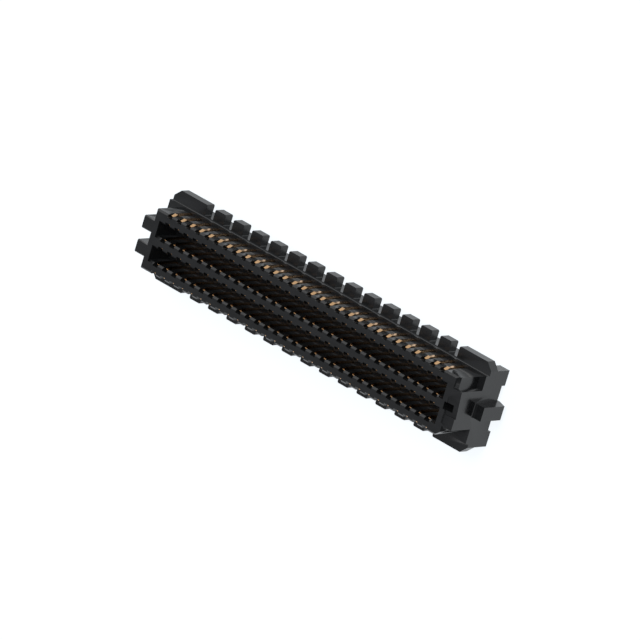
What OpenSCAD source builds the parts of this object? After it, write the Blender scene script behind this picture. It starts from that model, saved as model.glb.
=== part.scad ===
// Board to board connector, plug half: a moulded strip with three ribs, six rows of
// formed contacts and a ball of solder under each contact.
// X runs along the rows, Y across them and Z towards the mating half. All sizes in millimetres.
// The origin is the middle of the contact array, on the plane of the circuit board.

/* [Contact array] */
// Distance between neighbouring contacts of a row
pitch = 0.635; // [0.58:0.005:0.8]
// Number of contacts in a row
positions = 30; // [10:2:40]
// Distance between the middles of neighbouring ribs
rib_pitch = 1.27; // [1.2:0.01:1.6]

/* [Ribs] */
// Thickness of a rib
rib_t = 0.6; // [0.55:0.01:0.7]
// Height of the ribs above the floor of the base
rib_h = 1.5; // [1.2:0.05:3]
// Chamfer along the crest of a rib
crest_chamfer = 0.09; // [0.03:0.01:0.12]
// Chamfer across the end of the rib block that has the two keys
end_chamfer = 0.05; // [0.03:0.01:0.2]
// Chamfer across the end of the rib block that has the broad key
broad_end_chamfer = 0.18; // [0.03:0.01:0.2]
// How far the cut corner of the rib block reaches along it
block_corner_l = 0.5; // [0.2:0.01:0.6]
// How far the cut corner of the rib block reaches across it
block_corner_w = 0.42; // [0.2:0.01:0.5]
// From the last contact of a row to the end of the channel beside it
channel_run_out = 0.54; // [0.4:0.01:0.6]

/* [Base] */
// Thickness of the base plate
base_t = 1.4; // [1.2:0.05:2]
// Wall left outside the outer row of contact slots
side_wall = 0.12; // [0.08:0.01:0.3]
// From the last contact of a row to the end of the base
end_margin = 1.51; // [1.45:0.01:2]
// Height of the feet below the base plate
foot_h = 0.225; // [0.2:0.005:0.4]
// Length of a corner foot
foot_l = 0.63; // [0.4:0.01:1.2]
// Width of a corner foot
foot_w = 0.79; // [0.5:0.01:1]

/* [Castellations] */
// Width of a castellation along the strip
cast_w = 0.72; // [0.4:0.01:0.8]
// Thickness of the castellations and corner tabs
cast_t = 0.53; // [0.4:0.01:0.7]
// How far the castellations and tabs stand out from the base plate
cast_out = 0.595; // [0.45:0.005:0.9]
// Step from the floor of the base down to the castellations
cast_drop = 0.235; // [0.1:0.005:0.4]
// Chamfer on the outer corners of a castellation
cast_chamfer = 0.05; // [0.02:0.01:0.12]
// Fillet where a castellation or tab meets the rail
cast_root_r = 0.04; // [0.02:0.01:0.1]
// How far the rail between the castellations stands out from the base plate
rail_out = 0.04; // [0.02:0.01:0.2]
// Chamfer on the outer corner of a corner tab
tab_chamfer = 0.37; // [0.1:0.01:0.4]

/* [Keys] */
// Length of the two keys beyond the rib block
twin_key_l = 0.62; // [0.3:0.01:0.7]
// Width of each of the two keys
twin_key_w = 0.67; // [0.3:0.01:0.8]
// Chamfer along the crest of each of the two keys
twin_key_chamfer = 0.05; // [0.02:0.01:0.1]
// Length of the broad key beyond the rib block
broad_key_l = 0.38; // [0.3:0.01:0.6]
// Width of the broad key
broad_key_w = 2; // [1.8:0.05:2.6]
// Chamfer along the crest of the broad key
broad_key_chamfer = 0.03; // [0.02:0.01:0.1]
// Length of the hole in the broad key
key_hole_l = 0.54; // [0.3:0.01:0.6]
// Width of the hole in the broad key
key_hole_w = 0.38; // [0.2:0.01:0.5]
// Depth of the hole in the broad key
key_hole_depth = 0.9; // [0.3:0.05:1.1]
// From the end of the base to that hole
key_hole_margin = 0.27; // [0.2:0.01:0.3]
// Depth of the sloping relief on the broad key, at its deepest
relief_depth = 0.17; // [0.05:0.01:0.3]
// How far the relief reaches back into the rib block
relief_inset = 0.29; // [0.1:0.01:0.3]
// From the middle of the broad key to the start of the slope
relief_start_y = 0.5; // [0.3:0.01:0.7]
// From the middle of the broad key to the step at the foot of the slope
relief_step_y = 0.42; // [0.3:0.01:0.6]
// Depth of the flat relief beyond that step
flat_relief_depth = 0.08; // [0.02:0.01:0.12]
// How far the corner of the flat relief is cut in
flat_relief_corner = 0.15; // [0.05:0.01:0.3]

/* [End post] */
// How far the post stands out from the end of the base
post_l = 0.53; // [0.2:0.01:1]
// Width of the post
post_w = 0.72; // [0.4:0.01:1.2]
// Height of the post above the floor of the base
post_rise = 0.13; // [0.05:0.01:0.4]
// Rise of the slope under the post
post_slope = 0.26; // [0.05:0.01:0.6]
// How far the foot of the post runs back under the base
post_root = 0.79; // [0.4:0.01:1.2]
// Fillet where the post meets the end of the base
post_fillet = 0.16; // [0.05:0.01:0.19]

/* [Contacts] */
// Width of a contact
contact_w = 0.19; // [0.15:0.01:0.26]
// Thickness of the contact strip
contact_t = 0.1; // [0.08:0.01:0.12]
// Depth of the groove that a contact lies in
groove_depth = 0.05; // [0.01:0.005:0.06]
// Room beside a contact in its slot
slot_gap = 0.01; // [0.005:0.005:0.02]
// How far the tip of a contact lies below the crest
tip_drop = 0.22; // [0.1:0.01:0.3]
// Length of the straight part of the tip
tip_l = 0.17; // [0.1:0.01:0.3]
// Angle that the tip is bent in by
tip_angle = 28; // [10:1:35]
// Inner radius of that bend
tip_bend_r = 0.05; // [0.03:0.005:0.06]
// Room on each side of a tip, in its pocket in the crest
pocket_room = 0.06; // [0.02:0.01:0.1]
// Room behind a tip, in its pocket
tip_room = 0.03; // [0.01:0.005:0.04]
// Depth of the pocket below the bend of the tip
pocket_below = 0.05; // [0.05:0.01:0.5]
// How far the shoulders that hold a contact in the base stand out on each side of it
shoulder_out = 0.05; // [0.03:0.01:0.09]
// Length of the shoulders
shoulder_l = 0.6; // [0.3:0.05:0.9]
// Plastic above the shoulders
shoulder_cover = 0.4; // [0.2:0.05:0.5]

/* [Solder] */
// Room left between a solder ball and the circuit board
ball_gap = 0.025; // [0.005:0.005:0.06]
// How far the flat of a ball reaches past the corners of its contact
ball_wetting = 0.008; // [0.002:0.001:0.02]

/* [Hidden] */
$fn = 48;
// Cutters reach this far past the faces that they cut
over = 0.2;
// Contacts are gathered ten to a bank
bank_size = 10;
row_letters = ["a", "b", "c", "d", "e", "f"];
// Rib of each row, counted from the middle one, and the face of that rib
row_rib = [1, 1, 0, 0, -1, -1];
row_face = [1, -1, 1, -1, 1, -1];
rows = len(row_letters);
banks = ceil(positions / bank_size);

last_contact = (positions - 1) / 2 * pitch;
base_end = last_contact + end_margin;
channel_end = last_contact + channel_run_out;
twin_key_end = -(base_end - twin_key_l);
broad_key_end = base_end - broad_key_l;

floor_z = foot_h + base_t;
crest_z = floor_z + rib_h;
block_w = 2 * rib_pitch + rib_t;

// Places across a rib are measured outwards from its middle
seat_u = rib_t / 2 - groove_depth;
back_u = seat_u + contact_t;
tip_r = tip_bend_r + contact_t;
tip_middle_r = tip_bend_r + contact_t / 2;
bend_u = seat_u - tip_bend_r;
bend_z = crest_z - tip_drop - contact_t / 2 - tip_l * cos(tip_angle) - tip_middle_r * sin(tip_angle);
tip_end_u = bend_u + tip_middle_r * cos(tip_angle) - tip_l * sin(tip_angle);
pocket_u = tip_end_u - contact_t / 2 - tip_room;
pocket_z = bend_z - pocket_below;
pocket_w = contact_w + 2 * pocket_room;
shoulder_w = contact_w + 2 * shoulder_out;
shoulder_top = floor_z - shoulder_cover;

base_side = rib_pitch + back_u + slot_gap + side_wall;
cast_side = base_side + cast_out;
cast_top = floor_z - cast_drop;
cast_bottom = cast_top - cast_t;
foot_side = cast_side - tab_chamfer;

cast_pitch = 2 * pitch;
cast_count = floor(positions / 2) - 2;
tab_start = (cast_count - 1) / 2 * cast_pitch + cast_pitch - cast_w / 2;

// The relief runs from the end of the rib block out to the end face of the broad key
relief_run = broad_key_l + relief_inset;
relief_angle = atan2(broad_key_w / 2 - relief_start_y, relief_run);
relief_slope = atan2(relief_depth, (broad_key_w / 2 + relief_step_y) * cos(relief_angle));

// A ball reaches from the end of its contact almost to the board, and is cut flat at the contact
ball_h = foot_h - ball_gap;
ball_flat_r = sqrt(pow(contact_w, 2) + pow(contact_t, 2)) / 2 + ball_wetting;
ball_r = (pow(ball_h, 2) + pow(ball_flat_r, 2)) / (2 * ball_h);

function contact_x(i) = (i - (positions - 1) / 2) * pitch;
function bank_name(piece, row, bank) = str(piece, "_row_", row_letters[row], "_bank_", bank + 1);
function bank_members(bank) = [bank * bank_size : min(positions, (bank + 1) * bank_size) - 1];

// Sweeps a profile drawn in Y and Z along X
module along_x(from, to) {
  translate([from, 0, 0]) rotate([90, 0, 90]) linear_extrude(to - from) children();
}

// Sweeps a profile drawn in X and Z along Y
module along_y(from, to) {
  translate([0, to, 0]) rotate([90, 0, 0]) linear_extrude(to - from) children();
}

module both_sides() {
  children();
  mirror([0, 1, 0]) children();
}

module both_ends() {
  children();
  mirror([1, 0, 0]) children();
}

// Puts a shape at one contact: rib and face say where across the strip
module at_contact(i, row) {
  translate([contact_x(i), row_rib[row] * rib_pitch, 0])
    mirror([0, row_face[row] < 0 ? 1 : 0, 0]) children();
}

// Section of a rib, wall or key that stands on the floor, with a chamfered crest
module crest_profile(width, chamfer) {
  half = width / 2;
  polygon([
    [-half, foot_h], [half, foot_h], [half, crest_z - chamfer], [half - chamfer, crest_z],
    [chamfer - half, crest_z], [-half, crest_z - chamfer]
  ]);
}

// Side outline of the rib block, with chamfered ends
module block_outline() {
  polygon([
    [twin_key_end, foot_h], [broad_key_end, foot_h], [broad_key_end, crest_z - broad_end_chamfer],
    [broad_key_end - broad_end_chamfer, crest_z], [twin_key_end + end_chamfer, crest_z],
    [twin_key_end, crest_z - end_chamfer]
  ]);
}

// The rib block seen from above: one corner is cut off beside the broad key
module block_plan() {
  half = block_w / 2;
  polygon([
    [twin_key_end, -half], [broad_key_end - block_corner_l, -half],
    [broad_key_end, block_corner_w - half], [broad_key_end, half], [twin_key_end, half]
  ]);
}

// Three ribs joined by a wall at each end
module rib_block() {
  intersection() {
    union() {
      for (rib = [-1 : 1]) translate([0, rib * rib_pitch, 0])
        along_x(twin_key_end, broad_key_end) crest_profile(rib_t, crest_chamfer);
      along_x(twin_key_end, -channel_end) crest_profile(block_w, crest_chamfer);
      along_x(channel_end, broad_key_end) crest_profile(block_w, crest_chamfer);
    }
    along_y(-block_w, block_w) block_outline();
    linear_extrude(crest_z + over) block_plan();
  }
}

module base_plate() {
  translate([-base_end, -base_side, foot_h]) cube([2 * base_end, 2 * base_side, base_t]);
}

// Fillet in the corner between the rail and the side of a castellation, seen from above
module root_fillet() {
  difference() {
    translate([-rail_out, -rail_out]) square(rail_out + cast_root_r);
    translate([cast_root_r, cast_root_r]) circle(cast_root_r);
  }
}

// Corner tab with its outer corner cut off, seen from above
module tab_outline() {
  polygon([
    [tab_start, 0], [base_end, 0], [base_end, foot_side], [base_end - tab_chamfer, cast_side],
    [tab_start + cast_chamfer, cast_side], [tab_start, cast_side - cast_chamfer]
  ]);
  translate([tab_start, base_side + rail_out]) mirror([1, 0, 0]) root_fillet();
}

module castellation_outline() {
  half = cast_w / 2;
  polygon([
    [-half, 0], [half, 0], [half, cast_side - cast_chamfer], [half - cast_chamfer, cast_side],
    [cast_chamfer - half, cast_side], [-half, cast_side - cast_chamfer]
  ]);
  both_ends() translate([half, base_side + rail_out]) root_fillet();
}

// Row of castellations along one side, with its rail and corner tabs
module castellated_side() {
  translate([0, 0, cast_bottom]) linear_extrude(cast_t) {
    translate([-tab_start, 0]) square([2 * tab_start, base_side + rail_out]);
    both_ends() tab_outline();
    for (k = [0 : cast_count - 1]) translate([(k - (cast_count - 1) / 2) * cast_pitch, 0])
      castellation_outline();
  }
}

// Foot under a corner, which carries the corner tab
module corner_foot() {
  translate([base_end - foot_l, foot_side - foot_w, 0]) cube([foot_l, foot_w, cast_bottom + over]);
}

// Two narrow keys at one end, in line with the channels
module twin_keys() {
  both_sides() translate([0, rib_pitch / 2, 0])
    along_x(-base_end, twin_key_end + over) crest_profile(twin_key_w, twin_key_chamfer);
}

// One broad key at the other end, flush with the base
module broad_key() {
  along_x(broad_key_end - over, base_end) crest_profile(broad_key_w, broad_key_chamfer);
}

// Post on the end of the base: it stands on the board and slopes up at its tip
module end_post() {
  post_top = floor_z + post_rise;
  along_y(-post_w / 2, post_w / 2) difference() {
    polygon([
      [base_end - post_root, foot_h + over], [base_end - post_root, 0], [base_end, 0],
      [base_end + post_l, post_slope], [base_end + post_l, post_top], [base_end + post_fillet, post_top],
      [base_end, post_top + post_fillet], [base_end - over, post_top + post_fillet],
      [base_end - over, floor_z]
    ]);
    translate([base_end + post_fillet, post_top + post_fillet]) circle(post_fillet);
  }
}

// Sloping relief, shallow step and hole in the crest of the broad key
module broad_key_relief() {
  start = base_end - relief_run;
  reach = 2 * broad_key_w;
  height = relief_depth + over;
  intersection() {
    translate([start, relief_start_y, crest_z]) rotate([0, 0, relief_angle]) rotate([relief_slope, 0, 0])
      translate([-reach, -reach, 0]) cube([2 * reach, reach, height]);
    translate([start, -relief_step_y, crest_z - height])
      cube([relief_run + over, broad_key_w, 2 * height]);
  }
  translate([0, 0, crest_z - flat_relief_depth]) linear_extrude(height)
    polygon([
      [start, -relief_step_y], [base_end + over, -relief_step_y], [base_end + over, -broad_key_w / 2],
      [base_end, -broad_key_w / 2], [start, flat_relief_corner - broad_key_w / 2]
    ]);
  translate([base_end - key_hole_margin - key_hole_l, -key_hole_w / 2, crest_z - key_hole_depth])
    cube([key_hole_l, key_hole_w, key_hole_depth + over]);
}

// Everything that is cut from the housing for one contact
module contact_cavity() {
  slot_w = contact_w + 2 * slot_gap;
  wide_w = shoulder_w + 2 * slot_gap;
  slot_t = contact_t + slot_gap;
  translate([-slot_w / 2, seat_u, shoulder_top - over])
    cube([slot_w, slot_t, crest_z - shoulder_top + 2 * over]);
  translate([-wide_w / 2, seat_u, foot_h - over]) cube([wide_w, slot_t, shoulder_top - foot_h + over]);
  translate([-pocket_w / 2, pocket_u, pocket_z])
    cube([pocket_w, seat_u + slot_t - pocket_u, crest_z - pocket_z + over]);
}

// The housing is one moulding
module housing() {
  color("#1e1f21") difference() {
    union() {
      base_plate();
      both_sides() castellated_side();
      both_sides() both_ends() corner_foot();
      rib_block();
      twin_keys();
      broad_key();
      end_post();
    }
    for (row = [0 : rows - 1], i = [0 : positions - 1]) at_contact(i, row) contact_cavity();
    broad_key_relief();
  }
}

// Pie slice that keeps the bent part of a ring
module bend_sector(reach) {
  polygon([[0, 0], [reach, 0], reach * [cos(tip_angle), sin(tip_angle)]]);
}

// Half round that ends a tip
module tip_end() {
  intersection() {
    circle(contact_t / 2);
    translate([-contact_t, 0]) square([2 * contact_t, contact_t]);
  }
}

// Edge view of a contact: a straight strip whose tip is bent in, so that the mating half slides onto it
module contact_profile() {
  translate([seat_u, foot_h]) square([contact_t, bend_z - foot_h]);
  translate([bend_u, bend_z]) {
    intersection() {
      difference() {
        circle(tip_r);
        circle(tip_bend_r);
      }
      bend_sector(2 * tip_r);
    }
    rotate(tip_angle) translate([tip_middle_r, 0]) {
      translate([-contact_t / 2, 0]) square([contact_t, tip_l]);
      translate([0, tip_l]) tip_end();
    }
  }
}

module contact() {
  along_x(-contact_w / 2, contact_w / 2) contact_profile();
  translate([-shoulder_w / 2, seat_u, shoulder_top - shoulder_l]) cube([shoulder_w, contact_t, shoulder_l]);
}

module contact_bank(row, bank) {
  color("#d8a650") for (i = bank_members(bank)) at_contact(i, row) contact();
}

// Ball cut flat where it is wetted to the end of its contact
module solder_ball() {
  translate([0, seat_u + contact_t / 2, ball_gap + ball_r]) difference() {
    sphere(ball_r);
    translate([-ball_r, -ball_r, ball_h - ball_r]) cube(2 * ball_r);
  }
}

module solder_bank(row, bank) {
  color("#c9ccd0") for (i = bank_members(bank)) at_contact(i, row) solder_ball();
}

housing();
for (row = [0 : rows - 1], bank = [0 : banks - 1]) {
  contact_bank(row, bank);
  solder_bank(row, bank);
}
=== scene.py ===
# %% [markdown]
# A board to board connector, the plug half of a pair.
# The real part is a black moulded strip, 22 mm long, with three ribs. Six rows of gold plated contacts lie
# on the faces of the ribs, and each contact ends in a ball of solder under the strip.
# This lesson dresses the part's exact solids: it rounds the edges of the moulding, rebuilds the contacts and
# the solder balls with Geometry Nodes, and gives each its finish, under a plain studio light.

# %% Load the part
from math import inf, radians

import bmesh
import bpy
from mathutils import Matrix, Quaternion, Vector


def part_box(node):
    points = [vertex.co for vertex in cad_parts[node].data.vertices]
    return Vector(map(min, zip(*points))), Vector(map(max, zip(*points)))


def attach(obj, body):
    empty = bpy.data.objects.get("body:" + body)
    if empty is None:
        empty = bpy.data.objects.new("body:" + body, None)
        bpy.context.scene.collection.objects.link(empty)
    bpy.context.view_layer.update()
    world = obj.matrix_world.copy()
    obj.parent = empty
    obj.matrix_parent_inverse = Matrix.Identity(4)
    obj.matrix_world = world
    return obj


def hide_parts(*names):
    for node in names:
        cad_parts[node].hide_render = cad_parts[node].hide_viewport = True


MM = 0.001


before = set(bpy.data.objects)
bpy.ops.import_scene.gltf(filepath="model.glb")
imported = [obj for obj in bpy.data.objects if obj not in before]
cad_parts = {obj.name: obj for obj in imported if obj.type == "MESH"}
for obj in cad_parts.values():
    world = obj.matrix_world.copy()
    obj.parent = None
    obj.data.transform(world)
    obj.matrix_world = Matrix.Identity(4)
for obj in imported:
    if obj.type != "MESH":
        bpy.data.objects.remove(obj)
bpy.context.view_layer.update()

# %% [markdown]
# The camera looks down on the part from beyond its keyed end, with a long lens, so that lines that are
# parallel on the part stay almost parallel in the picture. The picture is rolled by about a quarter turn.
# A camera can be aimed with a constraint, but then its roll is hard to set. Here one quaternion points it at
# a spot on the part and a second one rolls it about its own line of sight.

# %% Camera
LOOK_AT = Vector((0.245, 0.087, 1.6)) * MM
CAMERA_AZIMUTH = radians(26.354)
CAMERA_ELEVATION = radians(49.519)
CAMERA_ROLL = radians(-93.648)
CAMERA_DISTANCE = 381.53 * MM
LENS_MM = 446.79
SENSOR_MM = 36.0
NEAR_CLIP = 0.01
FAR_CLIP = 20.0
AT_ORIGIN = (Vector(), Quaternion())


def direction(azimuth, elevation):
    """Unit vector at an angle round from +X and an angle up from the floor."""
    return Quaternion((0, 0, 1), azimuth) @ Quaternion((0, 1, 0), -elevation) @ Vector((1, 0, 0))


def aimed(azimuth, elevation, distance, roll=0.0):
    """Place and turn of a lamp or camera that looks at the part."""
    away = direction(azimuth, elevation)
    return LOOK_AT + distance * away, away.to_track_quat("Z", "Y") @ Quaternion((0, 0, 1), roll)


def place(name, data, spot=AT_ORIGIN):
    """Adds an object to the scene at a place and turn."""
    made = bpy.data.objects.new(name, data)
    made.rotation_mode = "QUATERNION"
    made.location, made.rotation_quaternion = spot
    bpy.context.scene.collection.objects.link(made)
    return made


lens = bpy.data.cameras.new("camera")
lens.sensor_fit, lens.sensor_width, lens.lens = "HORIZONTAL", SENSOR_MM, LENS_MM
lens.clip_start, lens.clip_end = NEAR_CLIP, FAR_CLIP
camera = place("camera", lens, aimed(CAMERA_AZIMUTH, CAMERA_ELEVATION, CAMERA_DISTANCE, CAMERA_ROLL))
bpy.context.scene.camera = camera
print("camera at", [round(x / MM, 1) for x in camera.location], "mm")

# %% [markdown]
# Finishes are node trees, and so are the Geometry Nodes further down. Long lists of nodes and links are hard
# to read, so a few small helpers keep them short: one adds a node and fills its sockets, one adds a step of
# arithmetic, and one stretches a range of numbers onto another.


# %% Node helpers
def fill(tree, socket, value):
    """Links another node's output to a socket, or sets the socket to a plain value."""
    if isinstance(value, bpy.types.NodeSocket):
        tree.links.new(value, socket)
    else:
        socket.default_value = value


def put(tree, kind, settings=None, **sockets):
    """Adds a node and fills its sockets, which are named with underscores for spaces."""
    made = tree.nodes.new(kind)
    for key, value in (settings or {}).items():
        setattr(made, key, value)
    for key, value in sockets.items():
        fill(tree, made.inputs[key.replace("_", " ")], value)
    return made


def calc(tree, operation, *values):
    """Adds a Math node and returns its result."""
    made = put(tree, "ShaderNodeMath", {"operation": operation})
    for socket, value in zip(made.inputs, values):
        fill(tree, socket, value)
    return made.outputs[0]


def mapped(tree, value, source, target):
    """Stretches one range of numbers onto another one."""
    ends = {"From_Min": source[0], "From_Max": source[1], "To_Min": target[0], "To_Max": target[1]}
    return put(tree, "ShaderNodeMapRange", Value=value, **ends).outputs[0]


print("node helpers ready")

# %% [markdown]
# The stage is a white table under a darker ceiling. Black plastic shows mostly what it mirrors: its upright
# faces mirror the white table and look grey, and its level faces mirror the ceiling and stay black.
# A table could be lit until it is white, but so much light would wash the part out. Here some of its white
# is ordinary paint under the lamps, which keeps the part's shadow, and the rest is a glow that only the
# camera and mirroring surfaces see. The mirrored glow fades towards one side of the table, so that faces
# which point different ways differ in tone.

# %% Table
FLOOR_RADIUS = 2.0
FLOOR_SEGMENTS = 96
FLOOR_DROP = 0.02 * MM
FLOOR_PAINT = (0.25, 0.25, 0.25, 1)
COOL_WHITE = (0.92, 0.965, 1.0, 1)
FLOOR_GLOW = 0.95
MIRRORED_GLOW = 0.66
FADED_GLOW = 0.72 * MIRRORED_GLOW
FADE_SIDE = radians(130)
FADE_REACH = 7 * MM


def new_finish(name):
    """A material, its empty tree and the Object coordinates of the piece that wears it."""
    made = bpy.data.materials.new(name)
    made.use_nodes = True
    made.node_tree.nodes.clear()
    return made, made.node_tree, put(made.node_tree, "ShaderNodeTexCoord").outputs["Object"]


def share_towards(tree, vector, side, reach, share):
    """A share that goes from its first to its second value as a vector reaches towards a side."""
    along = put(tree, "ShaderNodeVectorMath", {"operation": "DOT_PRODUCT"}, Vector=vector)
    along.inputs[1].default_value = direction(side, 0.0)
    return mapped(tree, along.outputs["Value"], reach, share)


def table_finish():
    made, tree, spot = new_finish("white_table")
    path = put(tree, "ShaderNodeLightPath").outputs
    fade = share_towards(tree, spot, FADE_SIDE, (-FADE_REACH, FADE_REACH), (MIRRORED_GLOW, FADED_GLOW))
    mirrored = calc(tree, "MAXIMUM", path["Is Glossy Ray"], path["Is Transmission Ray"])
    mirrored = calc(tree, "MULTIPLY", mirrored, fade)
    seen = calc(tree, "MULTIPLY", path["Is Camera Ray"], FLOOR_GLOW)
    glow = put(tree, "ShaderNodeEmission", Color=COOL_WHITE, Strength=calc(tree, "MAXIMUM", seen, mirrored))
    paint = put(tree, "ShaderNodeBsdfDiffuse", Color=FLOOR_PAINT)
    both = put(tree, "ShaderNodeAddShader")
    for part, socket in zip((paint, glow), both.inputs):
        tree.links.new(part.outputs[0], socket)
    put(tree, "ShaderNodeOutputMaterial", Surface=both.outputs[0])
    return made


def white_table():
    shape = bmesh.new()
    bmesh.ops.create_circle(shape, cap_ends=True, segments=FLOOR_SEGMENTS, radius=FLOOR_RADIUS)
    bmesh.ops.translate(shape, verts=shape.verts, vec=(0, 0, -FLOOR_DROP))
    mesh = bpy.data.meshes.new("floor")
    shape.to_mesh(mesh)
    shape.free()
    mesh.materials.append(table_finish())
    return place("floor", mesh)


white_table()
print("table:", FLOOR_RADIUS, "m in radius")

# %% [markdown]
# The ceiling is the world's own colour, which costs no mesh: white at the horizon and dark overhead. It is
# lighter on one side, again so that faces differ in tone. Two broad lamps give the plain light of a studio.
# They aren't mirrored, because their bright discs would leave spots on the metal.

# %% Ceiling and lamps
HORIZON = (1.0, 1.0, 1.0)
HORIZON_TOP = 0.12
CEILING = (0.205, 0.21, 0.22)
CEILING_START = 0.5
LIGHT_SIDE = radians(165)
LIGHT_TURN = (-0.2, 0.6)
LIGHT_SHARE = (0.25, 1.3)


def ramp(tree, value, *stops):
    """Adds a Color Ramp with two stops, each a position and a colour, and returns its colour."""
    made = put(tree, "ShaderNodeValToRGB", Fac=value)
    for element, (position, colour) in zip(made.color_ramp.elements, stops):
        element.position = position
        element.color = (*colour, 1)
    return made.outputs[0]


def ceiling():
    world = bpy.data.worlds.new("studio")
    world.use_nodes = True
    tree = world.node_tree
    tree.nodes.clear()
    view = put(tree, "ShaderNodeTexCoord").outputs["Generated"]
    height = put(tree, "ShaderNodeSeparateXYZ", Vector=view).outputs["Z"]
    shade = ramp(tree, height, (HORIZON_TOP, HORIZON), (CEILING_START, CEILING))
    share = share_towards(tree, view, LIGHT_SIDE, LIGHT_TURN, LIGHT_SHARE)
    sky = put(tree, "ShaderNodeBackground", Color=shade, Strength=share)
    put(tree, "ShaderNodeOutputWorld", Surface=sky.outputs[0])
    return world


def soft_lamp(name, azimuth, elevation, distance, size, watts):
    """A broad round lamp that shines on the part, with its angles in degrees."""
    data = bpy.data.lights.new(name, "AREA")
    data.shape, data.size, data.energy = "DISK", size, watts
    lamp = place(name, data, aimed(radians(azimuth), radians(elevation), distance))
    lamp.visible_glossy = False
    return lamp


bpy.context.scene.world = ceiling()
lamps = [
    soft_lamp("key_lamp", azimuth=75, elevation=62, distance=0.6, size=0.3, watts=1.3),
    soft_lamp("front_lamp", azimuth=24, elevation=54, distance=0.8, size=0.25, watts=0.85),
]
bpy.context.scene.view_settings.view_transform = "Standard"
print("lamps:", [lamp.name for lamp in lamps])

# %% [markdown]
# The housing is moulded in a black plastic filled with fine fibres. Its colour is nearly flat, with faint
# streaks along the strip where the melt flowed. What shows more is its gloss, which varies with the streaks,
# and the fine pits that the mould left. A picture of them would have to be wrapped round every rib, so both
# are noise on Object coordinates instead. Their unit is the metre, so the scale of a noise is one over the
# size of its grain.

# %% Plastic
NOISE_RANGE = (0.3, 0.7)
FLOW_SIZE = 0.25 * MM
FLOW_DETAIL = 3.0
FLOW_STRETCH = (0.25, 1, 1)
PIT_SIZE = 0.03 * MM
PIT_DEPTH = 0.002 * MM
PIT_STRENGTH = 0.35
PLASTIC_DARK = (0.0125, 0.0133, 0.0142)
PLASTIC_PALE = (0.0185, 0.0195, 0.0208)
PLASTIC_ROUGHNESS = (0.16, 0.23)
PLASTIC_IOR = 1.64


def grain(tree, coords, size, detail=2.0, stretch=(1, 1, 1)):
    """Noise with grains of one size, drawn out along an axis where stretch is below 1."""
    spread = put(tree, "ShaderNodeMapping", Vector=coords, Scale=stretch).outputs[0]
    return put(tree, "ShaderNodeTexNoise", Vector=spread, Scale=1 / size, Detail=detail).outputs[0]


def tinted(tree, noise, dark, pale):
    """Spreads a noise between two colours."""
    return ramp(tree, noise, (NOISE_RANGE[0], dark), (NOISE_RANGE[1], pale))


def dented(tree, height, depth, strength):
    """Turns a height into a bumped normal."""
    return put(tree, "ShaderNodeBump", Height=height, Distance=depth, Strength=strength).outputs[0]


def close_finish(tree, **sockets):
    """Ends a finish with one Principled shader."""
    shader = put(tree, "ShaderNodeBsdfPrincipled", **sockets)
    put(tree, "ShaderNodeOutputMaterial", Surface=shader.outputs[0])


def black_plastic():
    made, tree, coords = new_finish("black_plastic")
    flow = grain(tree, coords, FLOW_SIZE, FLOW_DETAIL, FLOW_STRETCH)
    pits = grain(tree, coords, PIT_SIZE)
    close_finish(
        tree,
        Base_Color=tinted(tree, flow, PLASTIC_DARK, PLASTIC_PALE),
        Roughness=mapped(tree, flow, NOISE_RANGE, PLASTIC_ROUGHNESS),
        Normal=dented(tree, pits, PIT_DEPTH, PIT_STRENGTH),
        IOR=PLASTIC_IOR,
    )
    return made


PLASTIC = black_plastic()
print("made", PLASTIC.name)

# %% [markdown]
# The contacts are stamped from strip and plated with gold over nickel. Rolling leaves fine lines along the
# strip, so the noise that drives gloss and bump is drawn out along the contact, and a slower noise varies
# the colour. The solder balls have frozen from the melt: their skin is a paler, duller metal with a frosted
# grain.

# %% Gold and solder
LINE_SIZE = 0.02 * MM
LINE_DETAIL = 3.0
LINE_STRETCH = (1, 1, 0.08)
LINE_DEPTH = 0.0005 * MM
LINE_STRENGTH = 0.2
CLOUD_SIZE = 0.4 * MM
GOLD_DEEP = (0.83, 0.49, 0.24)
GOLD_PALE = (0.89, 0.56, 0.30)
GOLD_ROUGHNESS = (0.12, 0.2)
FROST_SIZE = 0.025 * MM
FROST_DETAIL = 4.0
FROST_DEPTH = 0.003 * MM
FROST_STRENGTH = 0.4
SOLDER_DULL = (0.62, 0.63, 0.65)
SOLDER_BRIGHT = (0.76, 0.77, 0.78)
SOLDER_ROUGHNESS = (0.3, 0.5)


def gold_plating():
    made, tree, coords = new_finish("gold_plating")
    lines = grain(tree, coords, LINE_SIZE, LINE_DETAIL, LINE_STRETCH)
    cloud = grain(tree, coords, CLOUD_SIZE)
    close_finish(
        tree,
        Base_Color=tinted(tree, cloud, GOLD_DEEP, GOLD_PALE),
        Roughness=mapped(tree, lines, NOISE_RANGE, GOLD_ROUGHNESS),
        Normal=dented(tree, lines, LINE_DEPTH, LINE_STRENGTH),
        Metallic=1.0,
    )
    return made


def solder_skin():
    made, tree, coords = new_finish("solder_skin")
    frost = grain(tree, coords, FROST_SIZE, FROST_DETAIL)
    close_finish(
        tree,
        Base_Color=tinted(tree, frost, SOLDER_DULL, SOLDER_BRIGHT),
        Roughness=mapped(tree, frost, NOISE_RANGE, SOLDER_ROUGHNESS),
        Normal=dented(tree, frost, FROST_DEPTH, FROST_STRENGTH),
        Metallic=1.0,
    )
    return made


GOLD = gold_plating()
SOLDER = solder_skin()
print("made", GOLD.name, SOLDER.name)

# %% [markdown]
# The solids have knife edges, and no moulding has. A Bevel modifier finds nothing to round on loose
# triangles, and on a merged mesh it would round inner corners too. So a copy of the housing's mesh is merged
# into one skin, its flat faces are joined back from triangles, and only the edges that stand out are picked
# and rounded, by a hair. Inner corners are left sharp, as the slots are in the mould.

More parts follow.
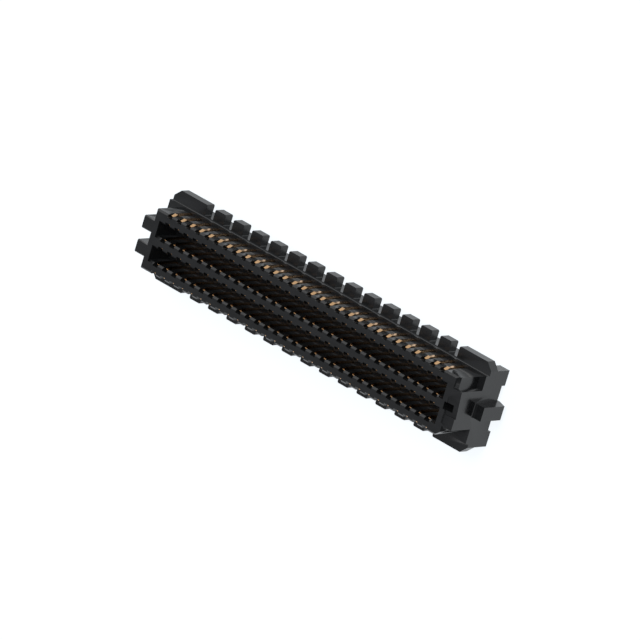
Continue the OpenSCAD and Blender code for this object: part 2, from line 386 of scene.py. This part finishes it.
# %% Housing skin
MERGE_WITHIN = 0.0002 * MM
FLAT_WITHIN = radians(0.5)
SHARP_FROM = radians(25)
EDGE_ROUND = 0.009 * MM
EDGE_STEPS = 2
CIRCULAR = 0.5


def join_flats(shape):
    """Joins neighbouring faces that lie in one plane."""
    bmesh.ops.dissolve_limit(shape, angle_limit=FLAT_WITHIN, verts=shape.verts, edges=shape.edges)


def merged_copy(node):
    """One skin made from a node's loose triangles, with its flat faces whole."""
    shape = bmesh.new()
    shape.from_mesh(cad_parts[node].data)
    bmesh.ops.remove_doubles(shape, verts=shape.verts, dist=MERGE_WITHIN)
    join_flats(shape)
    return shape


def round_edges(shape, radius, above=-inf):
    """Rounds the edges that stand out, are sharp and reach above a level."""
    shape.normal_update()
    outer = [e for e in shape.edges if e.is_manifold and e.calc_face_angle_signed() > SHARP_FROM]
    outer = [e for e in outer if max(v.co.z for v in e.verts) > above]
    bmesh.ops.bevel(
        shape,
        geom=outer,
        offset=radius,
        offset_type="OFFSET",
        segments=EDGE_STEPS,
        profile=CIRCULAR,
        affect="EDGES",
        clamp_overlap=True,
    )
    return len(outer)


skin = merged_copy("housing")
print("housing:", round_edges(skin, EDGE_ROUND), "edges rounded")

# %% [markdown]
# A rounded edge looks right only if the light runs smoothly round it while the broad faces stay flat to the
# eye. Weighted normals do that. They go by the areas of faces, which in square metres are too small here to
# count, so a piece is weighed in millimetres and then shrunk. A finished piece hides the solids it stands
# in for, and it moves with the part.

# %% Housing
CREASE_FROM = radians(50)


def settled(piece):
    """Bakes a piece's modifiers into a plain mesh."""
    view = bpy.context.evaluated_depsgraph_get()
    plain = bpy.data.meshes.new_from_object(piece.evaluated_get(view), depsgraph=view)
    piece.modifiers.clear()
    piece.data = plain
    plain.name = piece.name
    return piece


def finished_mesh(name, shape, finish):
    """Turns a bmesh into a smooth shaded piece whose broad faces keep their own normals."""
    mesh = bpy.data.meshes.new(name)
    shape.to_mesh(mesh)
    shape.free()
    mesh.transform(Matrix.Scale(1 / MM, 4))
    mesh.materials.clear()
    mesh.materials.append(finish)
    mesh.shade_smooth()
    mesh.set_sharp_from_angle(angle=CREASE_FROM)
    piece = place(name, mesh)
    weigh = piece.modifiers.new("weigh", "WEIGHTED_NORMAL")
    weigh.keep_sharp = True
    settled(piece).data.transform(Matrix.Scale(MM, 4))
    return piece


def ride_as(piece, slot, *nodes):
    """Hides these nodes, which the piece stands in for, and makes the piece move with the part."""
    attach(piece, "root")
    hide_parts(*nodes)


housing = finished_mesh("moulded_housing", skin, PLASTIC)
ride_as(housing, "housing", "housing")
print(housing.name, len(housing.data.polygons), "faces")

# %% [markdown]
# A contact is a strip that runs straight up its rib and leans in at its tip, so that the mating half slides
# onto it. Shoulders inside the base keep it from pulling out. Its own sizes are written here in millimetres,
# and where each row stands and how far it reaches is read from the solids.

# %% Contact sizes
ROWS = "abcdef"
BANKS = (1, 2, 3)
BANK_SIZE = 10
STRIP_W = 0.19
STRIP_T = 0.1
STRIP_ROUND = 0.01
BEND_INNER = 0.05
BEND_ANGLE = radians(28)
BEND_STEPS = 4
TIP_L = 0.17
END_STEPS = 6
BASE_T = 1.4
SHOULDER_COVER = 0.4
SHOULDER_OUT = 0.05
SHOULDER_L = 0.6
SHOULDER_EASE = 0.002


def row_facts(row):
    """Places along and across the strip in metres, and heights in millimetres."""
    low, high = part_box(f"contacts_row_{row}_bank_1")
    next_low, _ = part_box(f"contacts_row_{row}_bank_2")
    on_near_face = ROWS.index(row) % 2 == 0
    half_t = STRIP_T / 2 * MM
    return {
        "first": low.x + (STRIP_W / 2 + SHOULDER_OUT) * MM,
        "step": (next_low.x - low.x) / BANK_SIZE,
        "middle": high.y - half_t if on_near_face else low.y + half_t,
        "turn": 0.0 if on_near_face else radians(180),
        "foot": low.z / MM,
        "top": high.z / MM,
        "shoulder_top": low.z / MM + BASE_T - SHOULDER_COVER,
    }


FACTS = {row: row_facts(row) for row in ROWS}
for row, facts in FACTS.items():
    print("row", row, "at", round(facts["middle"] / MM, 3), "mm, pitch", round(facts["step"] / MM, 4), "mm")

# %% [markdown]
# All contacts are alike, so one is made by nodes and set along a row, and the solder balls are set in the
# same way. An Array modifier could repeat a mesh as well, but a tree also makes the mesh, and has a named
# input for every size. It makes its one copy in millimetres, shrinks it to metres and then repeats it.

# %% Rows by nodes
ROW_NUMBERS = ("First X", "Row Y", "Pitch", "Turn")


def xyz(tree, **axes):
    """Joins up to three numbers into a vector."""
    return put(tree, "ShaderNodeCombineXYZ", **axes).outputs[0]


def moved(tree, mesh, offset):
    return put(tree, "GeometryNodeTransform", Geometry=mesh, Translation=offset).outputs[0]


def new_tree(name, numbers, counts=()):
    """A tree with named inputs for one copy and for its row, and the outputs of its input node."""
    tree = bpy.data.node_groups.new(name, "GeometryNodeTree")
    tree.interface.new_socket("Geometry", in_out="OUTPUT", socket_type="NodeSocketGeometry")
    kinds = {key: "NodeSocketFloat" for key in (*ROW_NUMBERS, *numbers)}
    kinds |= {key: "NodeSocketInt" for key in ("Count", *counts)}
    kinds["Finish"] = "NodeSocketMaterial"
    for key, kind in kinds.items():
        tree.interface.new_socket(key, in_out="INPUT", socket_type=kind)
    return tree, tree.nodes.new("NodeGroupInput").outputs


def close_tree(tree, unit_mesh, sizes):
    """Sets a mesh along a row, realizes the copies and gives them their finish."""
    small = put(tree, "GeometryNodeTransform", Geometry=unit_mesh, Scale=(MM, MM, MM))
    line = put(
        tree,
        "GeometryNodeMeshLine",
        Count=sizes["Count"],
        Start_Location=xyz(tree, X=sizes["First X"], Y=sizes["Row Y"]),
        Offset=xyz(tree, X=sizes["Pitch"]),
    )
    copies = put(
        tree,
        "GeometryNodeInstanceOnPoints",
        Points=line.outputs[0],
        Instance=small.outputs[0],
        Rotation=xyz(tree, Z=sizes["Turn"]),
    )
    real = put(tree, "GeometryNodeRealizeInstances", Geometry=copies.outputs[0])
    dressed = put(tree, "GeometryNodeSetMaterial", Geometry=real.outputs[0], Material=sizes["Finish"])
    put(tree, "NodeGroupOutput", Geometry=dressed.outputs[0])


print("row inputs:", ROW_NUMBERS)

# %% [markdown]
# The contact starts as a path up the middle of its edge. A path can be drawn point by point, but then a
# change of the bend would mean new points. Here a rule places them: the first point is the foot, the next go
# round the bend by equal angles, and the last ones narrow the ribbon that follows the path to a half round.

# %% Contact path
# The foot, the start of the bend and the end of the straight tip add to the points made by steps.
POINTS_WITHOUT_STEP = 3.0


def leaned(tree, bend_r, lean, run):
    """How far back and up the path has come after bending by an angle and running on."""
    cosine = calc(tree, "COSINE", lean)
    sine = calc(tree, "SINE", lean)
    inward = calc(tree, "MULTIPLY_ADD", sine, run, bend_r)
    back = calc(tree, "SUBTRACT", calc(tree, "MULTIPLY", cosine, bend_r), inward)
    return back, calc(tree, "MULTIPLY_ADD", cosine, run, calc(tree, "MULTIPLY", sine, bend_r))


def contact_path(tree, sizes):
    """The path of a contact, and how broad its ribbon is at each point."""
    half_t = calc(tree, "MULTIPLY", sizes["Thickness"], 0.5)
    bend_r = calc(tree, "ADD", sizes["Bend Inner"], half_t)
    index = put(tree, "GeometryNodeInputIndex").outputs[0]
    step = calc(tree, "MAXIMUM", calc(tree, "SUBTRACT", index, 1.0), 0.0)
    step = calc(tree, "MINIMUM", step, sizes["Bend Steps"])
    lean = calc(tree, "MULTIPLY", step, calc(tree, "DIVIDE", sizes["Bend Angle"], sizes["Bend Steps"]))
    past_bend = calc(tree, "SUBTRACT", index, calc(tree, "ADD", sizes["Bend Steps"], 1.0))
    end_step = calc(tree, "MAXIMUM", calc(tree, "SUBTRACT", past_bend, 1.0), 0.0)
    turn = calc(tree, "MULTIPLY", end_step, calc(tree, "DIVIDE", radians(90), sizes["End Steps"]))
    run = calc(tree, "MULTIPLY_ADD", calc(tree, "SINE", turn), half_t, sizes["Tip Length"])
    run = calc(tree, "MULTIPLY", run, calc(tree, "GREATER_THAN", past_bend, 0.5))
    back, rise = leaned(tree, bend_r, lean, run)
    _, tip_rise = leaned(tree, bend_r, sizes["Bend Angle"], sizes["Tip Length"])
    bend_z = calc(tree, "SUBTRACT", sizes["Top"], calc(tree, "ADD", tip_rise, half_t))
    past_foot = calc(tree, "MINIMUM", index, 1.0)
    height = mapped(tree, past_foot, (0.0, 1.0), (sizes["Foot"], calc(tree, "ADD", rise, bend_z)))
    steps = calc(tree, "ADD", sizes["Bend Steps"], sizes["End Steps"])
    line = put(tree, "GeometryNodeCurvePrimitiveLine").outputs[0]
    points = calc(tree, "ADD", steps, POINTS_WITHOUT_STEP)
    path = put(tree, "GeometryNodeResampleCurve", Curve=line, Count=points).outputs[0]
    path = put(tree, "GeometryNodeSetPosition", Geometry=path, Position=xyz(tree, Y=back, Z=height))
    breadth = calc(tree, "MULTIPLY", calc(tree, "COSINE", turn), sizes["Thickness"])
    return path.outputs[0], breadth


print("path points:", BEND_STEPS + END_STEPS + int(POINTS_WITHOUT_STEP))

# %% [markdown]
# A whole section could be swept along the path, but where it narrows to the half round, it would narrow in
# width too. So a ribbon, as broad as the metal is thick, is swept along the path and then drawn out sideways
# to the width of the contact. The shoulders are a block that a union joins on, as they are one piece with
# the strip.

# %% Contact tree
WELD_WITHIN = 0.001


def welded(tree, mesh):
    """Merges the points that fall together."""
    return put(tree, "GeometryNodeMergeByDistance", Geometry=mesh, Distance=WELD_WITHIN).outputs[0]


def drawn_strip(tree, sizes):
    path, breadth = contact_path(tree, sizes)
    edge = put(tree, "GeometryNodeCurvePrimitiveLine", Start=(0, -0.5, 0), End=(0, 0.5, 0)).outputs[0]
    ribbon = put(tree, "GeometryNodeCurveToMesh", Curve=path, Profile_Curve=edge, Scale=breadth)
    ribbon = welded(tree, ribbon.outputs[0])
    across = xyz(tree, X=sizes["Width"])
    drawn = put(tree, "GeometryNodeExtrudeMesh", Mesh=ribbon, Offset=across, Individual=False).outputs[0]
    both = put(tree, "GeometryNodeJoinGeometry")
    for part in (drawn, ribbon):
        tree.links.new(part, both.inputs[0])
    centred = xyz(tree, X=calc(tree, "MULTIPLY", sizes["Width"], -0.5))
    return moved(tree, welded(tree, both.outputs[0]), centred)


def shoulder_block(tree, sizes):
    size = xyz(tree, X=sizes["Shoulder Width"], Y=sizes["Shoulder Thickness"], Z=sizes["Shoulder Length"])
    block = put(tree, "GeometryNodeMeshCube", Size=size).outputs[0]
    return moved(tree, block, xyz(tree, Z=sizes["Shoulder Middle"]))


def contact_tree():
    numbers = ("Foot", "Top", "Width", "Thickness", "Bend Inner", "Bend Angle", "Tip Length")
    shoulder = ("Shoulder Width", "Shoulder Thickness", "Shoulder Length", "Shoulder Middle")
    tree, sizes = new_tree("contact_row", numbers + shoulder, ("Bend Steps", "End Steps"))
    whole = put(tree, "GeometryNodeMeshBoolean", {"operation": "UNION", "solver": "EXACT"})
    for part in (drawn_strip(tree, sizes), shoulder_block(tree, sizes)):
        tree.links.new(part, whole.inputs["Mesh 2"])
    close_tree(tree, whole.outputs[0], sizes)
    return tree


CONTACT_TREE = contact_tree()
print("contact tree:", len(CONTACT_TREE.nodes), "nodes")

# %% [markdown]
# Each row becomes one piece. Rows on the far face of a rib are the same contact turned by half a turn, which
# keeps the faces pointing outwards where a mirror wouldn't. A modifier keeps its inputs under the sockets'
# identifiers, so each identifier is looked up by its name before the value is set. The result is copied to a
# plain mesh, the modifier goes, and the edges above the shoulders are rounded.


# %% Rows of contacts
def nodes_of(piece, row):
    return [f"{piece}_row_{row}_bank_{bank}" for bank in BANKS]


def grown(name, tree, values):
    """Runs a tree with these inputs and keeps the result as a bmesh."""
    holder = place(name, bpy.data.meshes.new(name))
    grow = holder.modifiers.new("grow", "NODES")
    grow.node_group = tree
    sockets = {item.name: item.identifier for item in tree.interface.items_tree if item.in_out == "INPUT"}
    for key, value in values.items():
        grow[sockets[key]] = value
    settled(holder)
    shape = bmesh.new()
    shape.from_mesh(holder.data)
    bpy.data.objects.remove(holder)
    bmesh.ops.recalc_face_normals(shape, faces=shape.faces)
    return shape


def contact_values(facts):
    return {
        "First X": facts["first"],
        "Row Y": facts["middle"],
        "Pitch": facts["step"],
        "Count": BANK_SIZE * len(BANKS),
        "Turn": facts["turn"],
        "Foot": facts["foot"],
        "Top": facts["top"],
        "Width": STRIP_W,
        "Thickness": STRIP_T,
        "Bend Inner": BEND_INNER,
        "Bend Angle": BEND_ANGLE,
        "Bend Steps": BEND_STEPS,
        "Tip Length": TIP_L,
        "End Steps": END_STEPS,
        "Shoulder Width": STRIP_W + 2 * SHOULDER_OUT,
        "Shoulder Thickness": STRIP_T - 2 * SHOULDER_EASE,
        "Shoulder Length": SHOULDER_L,
        "Shoulder Middle": facts["shoulder_top"] - SHOULDER_L / 2,
        "Finish": GOLD,
    }


for row, facts in FACTS.items():
    strips = grown("contacts", CONTACT_TREE, contact_values(facts))
    join_flats(strips)
    round_edges(strips, STRIP_ROUND * MM, (facts["shoulder_top"] + STRIP_ROUND) * MM)
    piece = finished_mesh(f"contacts_row_{row}", strips, GOLD)
    ride_as(piece, "contacts", *nodes_of("contacts", row))
    print(piece.name, len(piece.data.polygons), "faces")

# %% [markdown]
# A solder ball is a sphere with its top pressed flat against the end of the contact. A cut would leave an
# open rim to close, so the nodes push every point above the flat down onto it instead.

# %% Solder balls
BALL_SEGMENTS = 24
BALL_RINGS = 14


def ball_tree():
    tree, sizes = new_tree("solder_row", ("Radius", "Middle", "Flat"))
    ball = put(
        tree, "GeometryNodeMeshUVSphere", Segments=BALL_SEGMENTS, Rings=BALL_RINGS, Radius=sizes["Radius"]
    )
    ball = moved(tree, ball.outputs[0], xyz(tree, Z=sizes["Middle"]))
    spot = put(tree, "GeometryNodeInputPosition").outputs[0]
    spot = put(tree, "ShaderNodeSeparateXYZ", Vector=spot).outputs
    pressed = xyz(tree, X=spot["X"], Y=spot["Y"], Z=calc(tree, "MINIMUM", spot["Z"], sizes["Flat"]))
    ball = put(tree, "GeometryNodeSetPosition", Geometry=ball, Position=pressed)
    close_tree(tree, ball.outputs[0], sizes)
    return tree


def ball_values(row):
    low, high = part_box(f"solder_balls_row_{row}_bank_1")
    next_low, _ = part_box(f"solder_balls_row_{row}_bank_2")
    radius = (high.y - low.y) / 2
    return {
        "First X": low.x + radius,
        "Row Y": (low.y + high.y) / 2,
        "Pitch": (next_low.x - low.x) / BANK_SIZE,
        "Count": BANK_SIZE * len(BANKS),
        "Turn": 0.0,
        "Radius": radius / MM,
        "Middle": (low.z + radius) / MM,
        "Flat": high.z / MM,
        "Finish": SOLDER,
    }


BALL_TREE = ball_tree()
for row in ROWS:
    piece = finished_mesh(f"solder_balls_row_{row}", grown("balls", BALL_TREE, ball_values(row)), SOLDER)
    ride_as(piece, "solder", *nodes_of("solder_balls", row))
print("solder rows:", len(ROWS))
